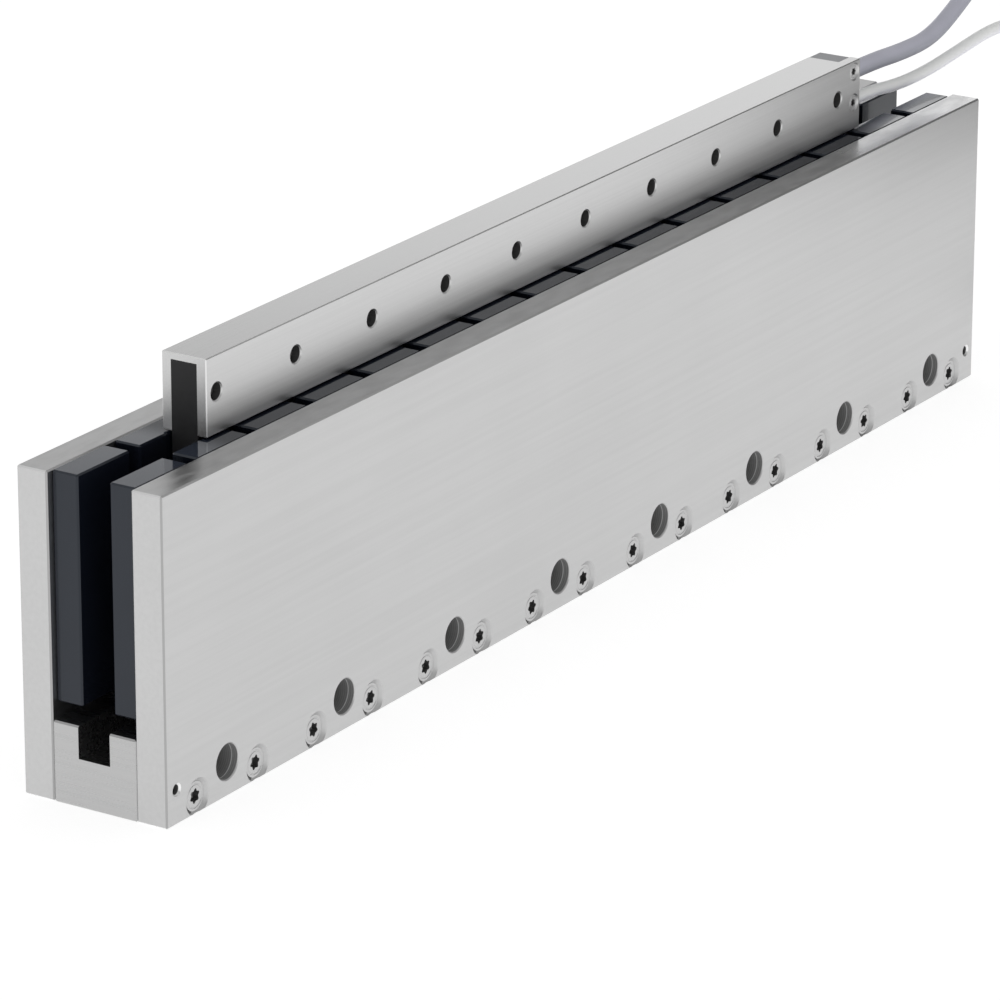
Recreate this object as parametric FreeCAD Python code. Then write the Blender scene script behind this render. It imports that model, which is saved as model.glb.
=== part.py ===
import FreeCAD
import Part
import math
import os

# Linear motor with a U-shaped magnet track and an ironless coil unit. Millimetres.
# Origin: middle of the track's underside. +X along the track, towards the cable end.
# The front plate faces -Y, +Z is up.

# Magnet track
track_length = 480.0
plate_height = 100.0
plate_thickness = 10.5
air_gap = 11.0
magnet_thickness = 9.0
spacer_height = 25.0
groove_depth = 10.0
edge_break = 0.5

# Magnets
pole_pitch = 30.0
magnet_width = 25.2
magnet_foot_gap = 5.0
magnet_top_inset = 0.2
magnet_chamfer = 0.5

# Mounting and locating holes through the track
side_hole_pitch = 60.0
side_hole_height = 10.6
side_hole_diameter = 6.6
head_hole_diameter = 10.8
head_hole_chamfer = 0.35
locating_hole_diameter = 3.0
locating_hole_depth = 8.0
locating_hole_inset = 5.0
locating_hole_chamfer = 0.6

# Countersunk screws that hold the plates to the spacer
plate_screw_pitch = 30.0
plate_screw_height = 5.0
plate_screw_diameter = 5.0
plate_screw_head = 9.4
plate_screw_length = 20.0
plate_screw_sink = 1.0
plate_screw_star = 4.4
plate_screw_star_depth = 2.0
plate_screw_clearance = 0.5
thread_runout = 1.0

# Six-lobed sockets, as shares of the socket's size
star_lobe = 0.17
star_middle = 0.38

# Coil unit
coil_unit_length = 380.0
coil_unit_setback = 46.6
running_clearance = 1.0
blade_foot_clearance = 2.0
carrier_wall = 3.25
carrier_top = 2.0
carrier_height = 23.75
carrier_lift = 0.25
carrier_edge = 0.3
skin_thickness = 1.5

# Tapped holes in the carrier and the inserts behind them
tapped_hole_pitch = 40.0
tapped_hole_inset = 5.0
tapped_hole_drop = 11.0
tapped_hole_diameter = 4.2
carrier_hole_diameter = 5.2
carrier_hole_chamfer = 0.4
insert_diameter = 8.0

# Windings, three coils for every four poles
coils_per_pole = 0.75
coil_spacing = 1.0
coil_foot_margin = 4.0
coil_to_board = 5.0
coil_band = 12.0
coil_inner_radius = 3.0
phase_names = ("u", "v", "w")

# Connection board and temperature sensor in the core
board_thickness = 1.6
board_height = 6.0
board_margin = 9.0
board_rise = 1.6
sensor_length = 6.0
sensor_height = 2.6
sensor_rise = 0.8

# Cable outlet at the rear end
outlet_length = 10.0
outlet_window_length = 8.2
outlet_window_near_wall = 3.75
outlet_lid_drop = 0.3
outlet_screw_inset = 4.0
outlet_screw_drops = (3.75, 14.5)
outlet_screw_diameter = 3.0
outlet_screw_head = 5.5
outlet_screw_length = 5.0
outlet_screw_sink = 0.35
outlet_screw_star = 2.8
outlet_screw_star_depth = 1.0

# Play around each screw, insert and coil in its seat, and how far a cutter reaches past a face
fit_clearance = 0.05
overrun = 1.0

# Cables, each one metre long
power_cable_diameter = 6.0
sensor_cable_diameter = 4.2
power_grommet_length = 5.0
sensor_grommet_length = 4.0
grommet_wall = 1.2
grommet_taper = 0.5
tie_thickness = 0.8
tie_width = 4.0
tie_play = 0.15
tie_angles = (45.0, 225.0)
boot_length = 8.0
boot_wall = 0.4
core_count = 4
core_first_angle = 45.0
core_spread = 0.2
power_core_diameter = 1.3
sensor_core_diameter = 1.0
core_length = 12.0
ferrule_length = 5.0
ferrule_wall = 0.25

# Rest of each cable, wound into a flat coil on the ground behind the track
coil_layers = 2
coil_rounding = 0.4
power_coil_centre = (410.0, -20.0)
power_coil_radius = 30.0
power_coil_band = 15.3
sensor_coil_centre = (331.0, -28.0)
sensor_coil_radius = 23.05
sensor_coil_band = 14.1

# Share of the shorter run that a bend may take at each corner of a cable's way
bend_share = 0.45

# Each cable's way from the outlet to its coil, and from the coil to its stripped end
power_route = [
    (186.6, 0.0, 116.6),
    (208.0, 0.0, 116.6),
    (229.0, 0.0, 115.2),
    (250.0, 0.0, 115.3),
    (270.0, 0.5, 122.0),
    (292.0, 1.5, 131.5),
    (316.0, 2.0, 136.0),
    (338.0, 2.5, 131.5),
    (354.0, 4.0, 117.5),
    (363.0, 6.0, 98.0),
    (367.0, 8.0, 76.0),
    (368.5, 10.0, 53.0),
    (372.5, 12.2, 31.0),
    (382.0, 14.0, 13.7),
    (396.5, 14.6, 5.4),
    (410.0, 14.6, 3.8),
]
power_tail = [
    (410.0, -54.6, 9.8),
    (398.0, -54.7, 8.9),
    (387.0, -54.9, 5.1),
    (376.0, -55.2, 3.5),
]
sensor_route = [
    (186.6, 0.0, 106.6),
    (206.0, 0.0, 106.6),
    (227.0, 0.0, 104.1),
    (249.0, 0.0, 104.1),
    (272.0, 0.0, 106.2),
    (296.0, 0.0, 108.3),
    (317.0, 0.0, 106.0),
    (334.0, 0.0, 96.5),
    (346.5, 0.0, 82.0),
    (354.0, 0.0, 63.0),
    (358.5, -0.5, 43.0),
    (360.2, -4.0, 24.0),
    (359.2, -14.0, 9.5),
    (359.0, -28.0, 2.9),
]
sensor_tail = [
    (331.0, 0.0, 7.1),
    (343.0, 0.4, 6.3),
    (354.0, 3.5, 3.8),
    (363.0, 8.5, 2.6),
]

# Sizes that follow from the values above
spacer_width = air_gap + 2 * magnet_thickness
plate_face = spacer_width / 2 + plate_thickness
magnet_bottom = spacer_height + magnet_foot_gap
magnet_top = plate_height - magnet_top_inset
magnet_count = int(track_length / pole_pitch + 0.01)
side_hole_count = int(track_length / side_hole_pitch + 0.01)
plate_screw_count = int(track_length / plate_screw_pitch + 0.01)
blade_thickness = air_gap - 2 * running_clearance
core_thickness = blade_thickness - 2 * skin_thickness
carrier_width = blade_thickness + 2 * carrier_wall
carrier_bottom = plate_height + carrier_lift
carrier_roof = carrier_bottom + carrier_height
carrier_ceiling = carrier_roof - carrier_top
blade_bottom = spacer_height - groove_depth + blade_foot_clearance
unit_front = coil_unit_setback - track_length / 2
unit_rear = unit_front + coil_unit_length
unit_middle = (unit_front + unit_rear) / 2
outlet_front = unit_rear - outlet_length
tapped_hole_level = carrier_roof - tapped_hole_drop
tapped_hole_count = int((coil_unit_length - 2 * tapped_hole_inset) / tapped_hole_pitch + 0.01) + 1
coil_pitch = pole_pitch / coils_per_pole
coil_count = int(coil_unit_length / coil_pitch + 0.01)
coil_width = coil_pitch - coil_spacing
coil_bottom = blade_bottom + coil_foot_margin
board_bottom = carrier_bottom + board_rise
coil_top = board_bottom - coil_to_board
coil_height = coil_top - coil_bottom
coil_middle_level = (coil_bottom + coil_top) / 2
outer_radius_of_coil = coil_inner_radius + coil_band


def vector(x, y, z):
    return FreeCAD.Vector(x, y, z)


def block(x, y, z):
    """Box from three (low, high) pairs."""
    return Part.makeBox(x[1] - x[0], y[1] - y[0], z[1] - z[0], vector(x[0], y[0], z[0]))


def cylinder(radius, start, end):
    along = vector(*end) - vector(*start)
    return Part.makeCylinder(radius, along.Length, vector(*start), along)


def cone(start_radius, end_radius, start, end):
    along = vector(*end) - vector(*start)
    return Part.makeCone(start_radius, end_radius, along.Length, vector(*start), along)


def spread(count, pitch, middle=0.0):
    """Places of count things at one pitch, centred on middle."""
    return [middle + (i - (count - 1) / 2) * pitch for i in range(count)]


def rounded_block(width, height, thickness, radius, x, z):
    """Plate in the XZ plane with round corners, centred at x and z and across the blade."""
    plate = block(
        (x - width / 2, x + width / 2),
        (-thickness / 2, thickness / 2),
        (z - height / 2, z + height / 2),
    )
    corners = [e for e in plate.Edges if abs(e.Vertexes[0].Y - e.Vertexes[1].Y) > thickness / 2]
    return plate.makeFillet(radius, corners)


def across(side, depth_from, depth_to, x, z, face):
    """Two points on a line along Y, at depths below the face on that side."""
    return (x, side * (face - depth_from), z), (x, side * (face - depth_to), z)


def chamfered_bore(side, x, z, face, radius, depth, chamfer):
    """Cutter for a hole from an outer face inwards, with a chamfer at its mouth."""
    bore = cylinder(radius, *across(side, -overrun, depth, x, z, face))
    mouth = cone(radius + chamfer + overrun, radius, *across(side, -overrun, chamfer, x, z, face))
    return bore.fuse(mouth)


def countersink(side, x, z, face, head, sink, hole_radius, depth):
    """Cutter for a right-angled countersink with its clearance hole."""
    mouth_radius = head / 2 + sink + fit_clearance
    cone_depth = mouth_radius - hole_radius
    sunk = cone(mouth_radius + overrun, hole_radius, *across(side, -overrun, cone_depth, x, z, face))
    hole = cylinder(hole_radius, *across(side, 0.0, depth, x, z, face))
    return sunk.fuse(hole)


def star_recess(side, x, z, face, size, depth):
    """Six-lobed socket, cut from the head's face inwards."""
    lobe = star_lobe * size
    reach = size / 2 - lobe / 2
    tool = cylinder(star_middle * size, *across(side, -overrun, depth, x, z, face))
    lobes = []
    for i in range(6):
        angle = math.radians(60 * i)
        lobe_x = x + reach * math.cos(angle)
        lobe_z = z + reach * math.sin(angle)
        lobes.append(cylinder(lobe / 2, *across(side, -overrun, depth, lobe_x, lobe_z, face)))
    return tool.multiFuse(lobes)


def countersunk_screw(side, x, z, face, head, diameter, length, star, star_depth):
    """Screw along Y whose flat head face lies at face on that side."""
    radius = diameter / 2
    cone_depth = head / 2 - radius
    top = cone(head / 2, radius, *across(side, 0.0, cone_depth, x, z, face))
    shank = cylinder(radius, *across(side, cone_depth, length, x, z, face))
    return top.fuse(shank).removeSplitter().cut(star_recess(side, x, z, face, star, star_depth))


# Magnet track


def side_plate(side):
    """Steel plate with its screw holes. Those for screw heads are in the front plate, on side -1."""
    faces = sorted((side * spacer_width / 2, side * plate_face))
    plate = block((-track_length / 2, track_length / 2), faces, (0, plate_height))
    plate = plate.makeChamfer(edge_break, plate.Edges)
    cutters = []
    through = plate_thickness + overrun
    for x in spread(side_hole_count, side_hole_pitch):
        if side < 0:
            cutters.append(
                chamfered_bore(
                    side,
                    x,
                    side_hole_height,
                    plate_face,
                    head_hole_diameter / 2,
                    through,
                    head_hole_chamfer,
                )
            )
        else:
            ends = across(side, -overrun, through, x, side_hole_height, plate_face)
            cutters.append(cylinder(side_hole_diameter / 2, *ends))
    for x in spread(plate_screw_count, plate_screw_pitch):
        cutters.append(
            countersink(
                side,
                x,
                plate_screw_height,
                plate_face,
                plate_screw_head,
                plate_screw_sink,
                (plate_screw_diameter + plate_screw_clearance) / 2,
                through,
            )
        )
    for x in spread(2, track_length - 2 * locating_hole_inset):
        cutters.append(
            chamfered_bore(
                side,
                x,
                side_hole_height,
                plate_face,
                locating_hole_diameter / 2,
                locating_hole_depth,
                locating_hole_chamfer,
            )
        )
    return plate.cut(cutters)


def base_spacer():
    """Bar between the plates, with a groove for the foot of the blade."""
    half = spacer_width / 2
    bar = block((-track_length / 2, track_length / 2), (-half, half), (0, spacer_height))
    bar = bar.makeChamfer(edge_break, bar.Edges)
    groove = block(
        (-track_length, track_length),
        (-air_gap / 2, air_gap / 2),
        (spacer_height - groove_depth, spacer_height + overrun),
    )
    cutters = [groove]
    for x in spread(side_hole_count, side_hole_pitch):
        ends = ((x, -half - overrun, side_hole_height), (x, half + overrun, side_hole_height))
        cutters.append(cylinder(side_hole_diameter / 2, *ends))
    thread_end = plate_screw_sink + plate_screw_length + thread_runout
    for side in (-1, 1):
        for x in spread(plate_screw_count, plate_screw_pitch):
            ends = across(side, plate_thickness - overrun, thread_end, x, plate_screw_height, plate_face)
            cutters.append(cylinder(plate_screw_diameter / 2 + fit_clearance, *ends))
    return bar.cut(cutters)


def magnet(side, x):
    """Block magnet, flat against its plate, with its edges broken."""
    faces = sorted((side * air_gap / 2, side * spacer_width / 2))
    body = block((x - magnet_width / 2, x + magnet_width / 2), faces, (magnet_bottom, magnet_top))
    return body.makeChamfer(magnet_chamfer, body.Edges)


def plate_screws(side):
    return Part.makeCompound(
        [
            countersunk_screw(
                side,
                x,
                plate_screw_height,
                plate_face - plate_screw_sink,
                plate_screw_head,
                plate_screw_diameter,
                plate_screw_length,
                plate_screw_star,
                plate_screw_star_depth,
            )
            for x in spread(plate_screw_count, plate_screw_pitch)
        ]
    )


# Coil unit

tapped_hole_places = [
    unit_front + tapped_hole_inset + i * tapped_hole_pitch for i in range(tapped_hole_count)
]
outlet_screw_x = unit_rear - outlet_screw_inset
outlet_screw_levels = [carrier_roof - drop for drop in outlet_screw_drops]


def outlet_window():
    """Space milled out of the carrier's top at its rear end, open to the rear and the far side."""
    return block(
        (unit_rear - outlet_window_length, unit_rear + overrun),
        (outlet_window_near_wall - carrier_width / 2, carrier_width / 2 + overrun),
        (carrier_ceiling, carrier_roof + overrun),
    )


def coil_carrier():
    """Upside-down U bar that grips the blade and carries the mounting holes."""
    half = carrier_width / 2
    bar = block((unit_front, unit_rear), (-half, half), (carrier_bottom, carrier_roof))
    bar = bar.makeChamfer(carrier_edge, bar.Edges)
    channel = block(
        (unit_front - overrun, unit_rear + overrun),
        (-blade_thickness / 2, blade_thickness / 2),
        (carrier_bottom - overrun, carrier_ceiling),
    )
    cutters = [channel, outlet_window()]
    for side in (-1, 1):
        for x in tapped_hole_places:
            cutters.append(
                chamfered_bore(
                    side,
                    x,
                    tapped_hole_level,
                    half,
                    carrier_hole_diameter / 2,
                    carrier_wall + overrun,
                    carrier_hole_chamfer,
                )
            )
    for z in outlet_screw_levels:
        cutters.append(
            countersink(
                -1,
                outlet_screw_x,
                z,
                half,
                outlet_screw_head,
                outlet_screw_sink,
                outlet_screw_diameter / 2 + fit_clearance,
                carrier_wall + overrun,
            )
        )
    return bar.cut(cutters)


def blade_layer(y):
    """One full layer of the blade, with the rear upper corner left free for the outlet."""
    layer = block((unit_front, unit_rear), y, (blade_bottom, carrier_ceiling))
    corner = block(
        (outlet_front, unit_rear + overrun),
        (y[0] - overrun, y[1] + overrun),
        (carrier_bottom, carrier_ceiling + overrun),
    )
    radius = insert_diameter / 2 + fit_clearance
    cutters = [corner]
    for x in tapped_hole_places:
        ends = ((x, y[0] - overrun, tapped_hole_level), (x, y[1] + overrun, tapped_hole_level))
        cutters.append(cylinder(radius, *ends))
    return layer.cut(cutters)


def blade_skin(side):
    """Outer laminate that covers the windings on one side."""
    y = sorted((side * core_thickness / 2, side * blade_thickness / 2))
    return blade_layer(y)


coil_places = spread(coil_count, coil_pitch, unit_middle)
board_range = (unit_front + board_margin, outlet_front - board_margin)
board_y = (-core_thickness / 2, board_thickness - core_thickness / 2)
board_z = (board_bottom, board_bottom + board_height)
sensor_x = (unit_middle - sensor_length / 2, unit_middle + sensor_length / 2)
sensor_z = (coil_top + sensor_rise, coil_top + sensor_rise + sensor_height)


def blade_core():
    """Middle layer with a pocket for each coil, the board and the sensor."""
    core = blade_layer((-core_thickness / 2, core_thickness / 2))
    pockets = [
        rounded_block(
            coil_width + 2 * fit_clearance,
            coil_height + 2 * fit_clearance,
            core_thickness + 2 * overrun,
            outer_radius_of_coil + fit_clearance,
            x,
            coil_middle_level,
        )
        for x in coil_places
    ]
    pockets.append(block(board_range, (board_y[0] - overrun, board_y[1]), board_z))
    pockets.append(block(sensor_x, (board_y[0] - overrun, board_y[1]), sensor_z))
    return core.cut(pockets)


def winding(x):
    """Racetrack coil that fills the thickness of the core."""
    outer = rounded_block(
        coil_width, coil_height, core_thickness, outer_radius_of_coil, x, coil_middle_level
    )
    inner = rounded_block(
        coil_width - 2 * coil_band,
        coil_height - 2 * coil_band,
        core_thickness + 2 * overrun,
        coil_inner_radius,
        x,
        coil_middle_level,
    )
    return outer.cut(inner)


def winding_phase(phase):
    return Part.makeCompound([winding(x) for x in coil_places[phase :: len(phase_names)]])


def coil_formers():
    """Islands that the coils are wound around."""
    return Part.makeCompound(
        [
            rounded_block(
                coil_width - 2 * coil_band - 2 * fit_clearance,
                coil_height - 2 * coil_band - 2 * fit_clearance,
                core_thickness,
                coil_inner_radius - fit_clearance,
                x,
                coil_middle_level,
            )
            for x in coil_places
        ]
    )


def mounting_inserts():
    """Tapped bushes across the blade, behind the carrier's holes."""
    half = blade_thickness / 2
    bushes = []
    for x in tapped_hole_places:
        ends = ((x, -half, tapped_hole_level), (x, half, tapped_hole_level))
        bush = cylinder(insert_diameter / 2, *ends)
        bushes.append(bush.cut(cylinder(tapped_hole_diameter / 2, *ends)))
    return Part.makeCompound(bushes)


def connection_board():
    return block(board_range, board_y, board_z)


def temperature_sensor():
    return block(sensor_x, board_y, sensor_z)


def cable_outlet_block():
    """Moulded end block between the carrier's walls, with the lid that fills the window."""
    half = blade_thickness / 2
    body = block((outlet_front, unit_rear), (-half, half), (carrier_bottom, carrier_ceiling))
    lid = block(
        (unit_rear - outlet_window_length, unit_rear),
        (outlet_window_near_wall - carrier_width / 2, carrier_width / 2),
        (carrier_ceiling, carrier_roof - outlet_lid_drop),
    )
    threads = [
        cylinder(
            outlet_screw_diameter / 2 + fit_clearance,
            *across(
                -1, carrier_wall - overrun, outlet_screw_length + thread_runout, outlet_screw_x, z, carrier_width / 2
            ),
        )
        for z in outlet_screw_levels
    ]
    return body.fuse(lid).removeSplitter().cut(threads)


def outlet_screws():
    return Part.makeCompound(
        [
            countersunk_screw(
                -1,
                outlet_screw_x,
                z,
                carrier_width / 2 - outlet_screw_sink,
                outlet_screw_head,
                outlet_screw_diameter,
                outlet_screw_length,
                outlet_screw_star,
                outlet_screw_star_depth,
            )
            for z in outlet_screw_levels
        ]
    )


# Cables


def cable_grommet(z, diameter, length):
    """Tapered sleeve around a cable, on the rear face of the outlet block."""
    start = (unit_rear, 0.0, z)
    end = (unit_rear + length, 0.0, z)
    root_radius = diameter / 2 + grommet_wall
    sleeve = cone(root_radius, root_radius - grommet_taper, start, end)
    return sleeve.cut(cylinder(diameter / 2 + fit_clearance, start, end))


def tube(name, points, diameter):
    """Round tube along straight runs joined by tangent arcs."""
    corners = [vector(*point) for point in points]
    edges = []
    radii = []
    here = corners[0]
    for before, corner, after in zip(corners, corners[1:], corners[2:]):
        way_in = (corner - before).normalize()
        way_out = (after - corner).normalize()
        half_turn = way_in.getAngle(way_out) / 2
        setback = bend_share * min((corner - before).Length, (after - corner).Length)
        radius = setback / math.tan(half_turn)
        bisector = (way_out - way_in).normalize()
        centre = corner + bisector * (radius / math.cos(half_turn))
        arc_start = corner - way_in * setback
        arc_end = corner + way_out * setback
        edges.append(Part.LineSegment(here, arc_start).toShape())
        edges.append(Part.Arc(arc_start, centre - bisector * radius, arc_end).toShape())
        radii.append(radius)
        here = arc_end
    edges.append(Part.LineSegment(here, corners[-1]).toShape())
    path = Part.Wire(edges)
    circle = Part.makeCircle(diameter / 2, corners[0], (corners[1] - corners[0]).normalize())
    solid = path.makePipeShell([Part.Wire([circle])], True, True)
    section = math.pi * diameter**2 / 4
    print(name, "radii", " ".join(f"{radius:.0f}" for radius in radii))
    print(name, "length", round(path.Length, 1), "volume ratio", round(solid.Volume / (section * path.Length), 4))
    return solid


def cable_coil(centre, radius, band, diameter):
    """Outer shape of a flat coil that lies on its ties."""
    x, y = centre
    bottom = (x, y, tie_thickness)
    top = (x, y, tie_thickness + coil_layers * diameter)
    ring = cylinder(radius + band / 2, bottom, top).cut(cylinder(radius - band / 2, bottom, top))
    rims = [e for e in ring.Edges if abs(e.Vertexes[0].Z - e.Vertexes[-1].Z) < fit_clearance]
    return ring.makeFillet(coil_rounding * diameter, rims)


def coil_ties(centre, radius, band, diameter):
    """Flat straps around the coil's windings."""
    height = coil_layers * diameter + 2 * tie_thickness
    half = band / 2
    outside = block(
        (radius - half - tie_play - tie_thickness, radius + half + tie_play + tie_thickness),
        (-tie_width / 2, tie_width / 2),
        (0, height),
    )
    inside = block(
        (radius - half - tie_play, radius + half + tie_play),
        (-tie_width, tie_width),
        (tie_thickness, height - tie_thickness),
    )
    ties = []
    for angle in tie_angles:
        tie = outside.cut(inside)
        tie.rotate(vector(0, 0, 0), vector(0, 0, 1), angle)
        tie.translate(vector(centre[0], centre[1], 0))
        ties.append(tie)
    return Part.makeCompound(ties)


def cable_leads(tail, diameter, core_diameter):
    """Shrink sleeve on the jacket's end, with the bare cores and their ferrules, all in line with it."""
    jacket_end = vector(*tail[-1])
    along = jacket_end - vector(*tail[-2])
    along.z = 0
    along.normalize()
    aside = vector(-along.y, along.x, 0)
    up = vector(0, 0, 1)
    sleeve_end = jacket_end + along * boot_length
    pieces = [cylinder(diameter / 2 + boot_wall, jacket_end, sleeve_end)]
    offset = core_spread * diameter + core_diameter / 4
    for i in range(core_count):
        angle = math.radians(core_first_angle + 360 * i / core_count)
        core_start = sleeve_end + aside * (offset * math.cos(angle)) + up * (offset * math.sin(angle))
        core_end = core_start + along * core_length
        pieces.append(cylinder(core_diameter / 2, core_start, core_end))
        pieces.append(cylinder(core_diameter / 2 + ferrule_wall, core_end, core_end + along * ferrule_length))
    return Part.makeCompound(pieces)


def cable(name, route, tail, coil, leads, grommet, diameter):
    """The free stretches of a cable, ending at its coil, its sleeve and its outlet."""
    stretches = []
    for label, points in (("route", route), ("tail", tail)):
        whole = tube(f"{name} {label}", points, diameter)
        outside = whole.cut([coil, leads, grommet])
        stretches.append(max(outside.Solids, key=lambda solid: solid.Volume))
    return Part.makeCompound(stretches)


def export(name, shape):
    for solid in shape.Solids:
        if not solid.isValid():
            print("not valid:", name)
    shape.exportStep(f"parts/{name}.step")


os.makedirs("parts", exist_ok=True)

for label, side in (("front", -1), ("rear", 1)):
    export(f"side_plate_{label}", side_plate(side))
    export(f"plate_screws_{label}", plate_screws(side))
    for number, x in enumerate(spread(magnet_count, pole_pitch), 1):
        export(f"magnet_{label}_{number:02d}", magnet(side, x))
    export(f"blade_skin_{label}", blade_skin(side))

export("base_spacer", base_spacer())
export("coil_carrier", coil_carrier())
export("blade_core", blade_core())
export("coil_formers", coil_formers())
for phase, label in enumerate(phase_names):
    export(f"winding_phase_{label}", winding_phase(phase))
export("mounting_inserts", mounting_inserts())
export("connection_board", connection_board())
export("temperature_sensor", temperature_sensor())
export("cable_outlet_block", cable_outlet_block())
export("outlet_screws", outlet_screws())

power_coil = cable_coil(power_coil_centre, power_coil_radius, power_coil_band, power_cable_diameter)
power_leads = cable_leads(power_tail, power_cable_diameter, power_core_diameter)
power_grommet = cable_grommet(power_route[0][2], power_cable_diameter, power_grommet_length)
export("power_cable_coil", power_coil)
export("power_cable_leads", power_leads)
export("power_cable_grommet", power_grommet)
export("power_cable_ties", coil_ties(power_coil_centre, power_coil_radius, power_coil_band, power_cable_diameter))
export(
    "power_cable",
    cable(
        "power_cable", power_route, power_tail, power_coil, power_leads, power_grommet, power_cable_diameter
    ),
)

sensor_coil = cable_coil(sensor_coil_centre, sensor_coil_radius, sensor_coil_band, sensor_cable_diameter)
sensor_leads = cable_leads(sensor_tail, sensor_cable_diameter, sensor_core_diameter)
sensor_grommet = cable_grommet(sensor_route[0][2], sensor_cable_diameter, sensor_grommet_length)
export("sensor_cable_coil", sensor_coil)
export("sensor_cable_leads", sensor_leads)
export("sensor_cable_grommet", sensor_grommet)
export(
    "sensor_cable_ties", coil_ties(sensor_coil_centre, sensor_coil_radius, sensor_coil_band, sensor_cable_diameter)
)
export(
    "sensor_cable",
    cable(
        "sensor_cable",
        sensor_route,
        sensor_tail,
        sensor_coil,
        sensor_leads,
        sensor_grommet,
        sensor_cable_diameter,
    ),
)
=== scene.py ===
import math
import random

import bpy
from mathutils import Matrix, Vector


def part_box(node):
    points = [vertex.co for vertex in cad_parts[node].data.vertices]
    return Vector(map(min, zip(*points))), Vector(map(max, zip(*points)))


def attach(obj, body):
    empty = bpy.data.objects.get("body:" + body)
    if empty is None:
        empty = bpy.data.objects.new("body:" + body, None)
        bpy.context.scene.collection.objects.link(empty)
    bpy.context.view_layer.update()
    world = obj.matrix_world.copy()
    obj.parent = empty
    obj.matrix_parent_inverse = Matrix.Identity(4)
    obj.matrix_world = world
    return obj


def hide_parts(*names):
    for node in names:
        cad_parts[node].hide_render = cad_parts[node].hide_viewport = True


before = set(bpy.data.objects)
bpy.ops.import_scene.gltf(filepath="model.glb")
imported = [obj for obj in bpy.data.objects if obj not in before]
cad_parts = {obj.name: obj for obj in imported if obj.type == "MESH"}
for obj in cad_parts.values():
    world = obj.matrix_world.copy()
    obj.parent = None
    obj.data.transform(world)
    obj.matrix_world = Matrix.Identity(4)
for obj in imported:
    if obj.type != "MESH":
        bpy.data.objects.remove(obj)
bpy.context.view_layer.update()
bpy.ops.object.select_all(action="DESELECT")

# Camera
# The photograph was taken from the near left, a little above the track, through a long lens.
# The small shift puts the motor above the middle of the picture, as in the photograph.
camera_data = bpy.data.cameras.new("camera")
camera_data.sensor_width = 36.0
camera_data.lens = 212.73
camera_data.shift_y = -0.07
camera_data.clip_end = 20.0
camera = bpy.data.objects.new("camera", camera_data)
camera.location = (-1.48960, -0.93014, 0.65190)
camera.rotation_euler = (math.radians(70.940), math.radians(-0.086), math.radians(-57.538))
bpy.context.scene.collection.objects.link(camera)
bpy.context.scene.camera = camera

# Studio
# White floor and white surroundings, as for a cut-out product picture. The surroundings turn grey
# from 17 degrees up, which shades the upward faces. A grey card on the right, seen only as a
# reflection, darkens the polished sides towards their far ends.
bpy.context.scene.view_settings.view_transform = "Standard"


class Wire:
    """A socket of a finish's node tree. Sums written with it add Math nodes."""

    def __init__(self, tree, socket=None):
        self.tree = tree
        self.socket = socket

    def add(self, kind, settings=None, sockets=None, output=0):
        """Adds a node with its settings and the values or wires of its sockets."""
        node = self.tree.nodes.new(kind)
        for name, value in (settings or {}).items():
            if name == "stops":
                for _ in range(len(value) - 2):
                    node.color_ramp.elements.new(0.5)
                for element, (place, grey) in zip(node.color_ramp.elements, value):
                    element.position = place
                    element.color = (grey, grey, grey, 1.0)
            else:
                setattr(node, name, value)
        for name, value in (sockets or {}).items():
            if isinstance(value, Wire):
                self.tree.links.new(value.socket, node.inputs[name])
            else:
                node.inputs[name].default_value = value
        return Wire(self.tree, node.outputs[output])

    def math(self, operation, first, second=0.0):
        return self.add("ShaderNodeMath", {"operation": operation}, {0: first, 1: second})

    def __add__(self, other):
        return self.math("ADD", self, other)

    def __radd__(self, other):
        return self.math("ADD", other, self)

    def __sub__(self, other):
        return self.math("SUBTRACT", self, other)

    def __rsub__(self, other):
        return self.math("SUBTRACT", other, self)

    def __mul__(self, other):
        return self.math("MULTIPLY", self, other)

    def __rmul__(self, other):
        return self.math("MULTIPLY", other, self)

    def __abs__(self):
        return self.math("ABSOLUTE", self)

    def to(self, shader, socket):
        self.tree.links.new(self.socket, shader.inputs[socket])


def along(vector, axis):
    """One of the three numbers of a place or direction."""
    return vector.add("ShaderNodeSeparateXYZ", {}, {"Vector": vector}, axis)


def rise(value, start, end):
    """0 up to start, 1 from end on, and smooth between them."""
    ends = {"Value": value, "From Min": start, "From Max": end}
    return value.add("ShaderNodeMapRange", {"interpolation_type": "SMOOTHSTEP"}, ends)


def on_piece(wire, stretch=(1.0, 1.0, 1.0)):
    """The point on the piece, in metres, stretched to suit a pattern."""
    point = wire.add("ShaderNodeTexCoord", output="Object")
    return wire.add("ShaderNodeMapping", {}, {"Vector": point, "Scale": stretch})


def finish(name, **values):
    """A new material with its shader, and the wire that its patterns start from."""
    material = bpy.data.materials.new(name)
    material.use_nodes = True
    shader = material.node_tree.nodes["Principled BSDF"]
    for socket, value in values.items():
        if isinstance(value, tuple):
            value = (*value, 1.0)
        shader.inputs[socket.replace("_", " ")].default_value = value
    return material, shader, Wire(material.node_tree)


surroundings = bpy.data.worlds.new("surroundings")
surroundings.use_nodes = True
sky = Wire(surroundings.node_tree)
height = along(sky.add("ShaderNodeTexCoord", output="Generated"), "Z")
sky_stops = [(0.0, 1.0), (0.285, 0.98), (0.31, 0.86), (0.335, 0.42), (0.37, 0.30), (0.65, 0.50), (1.0, 0.85)]
shade = sky.add("ShaderNodeValToRGB", {"stops": sky_stops}, {"Fac": height})
shade.to(surroundings.node_tree.nodes["Background"], "Color")
bpy.context.scene.world = surroundings

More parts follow.
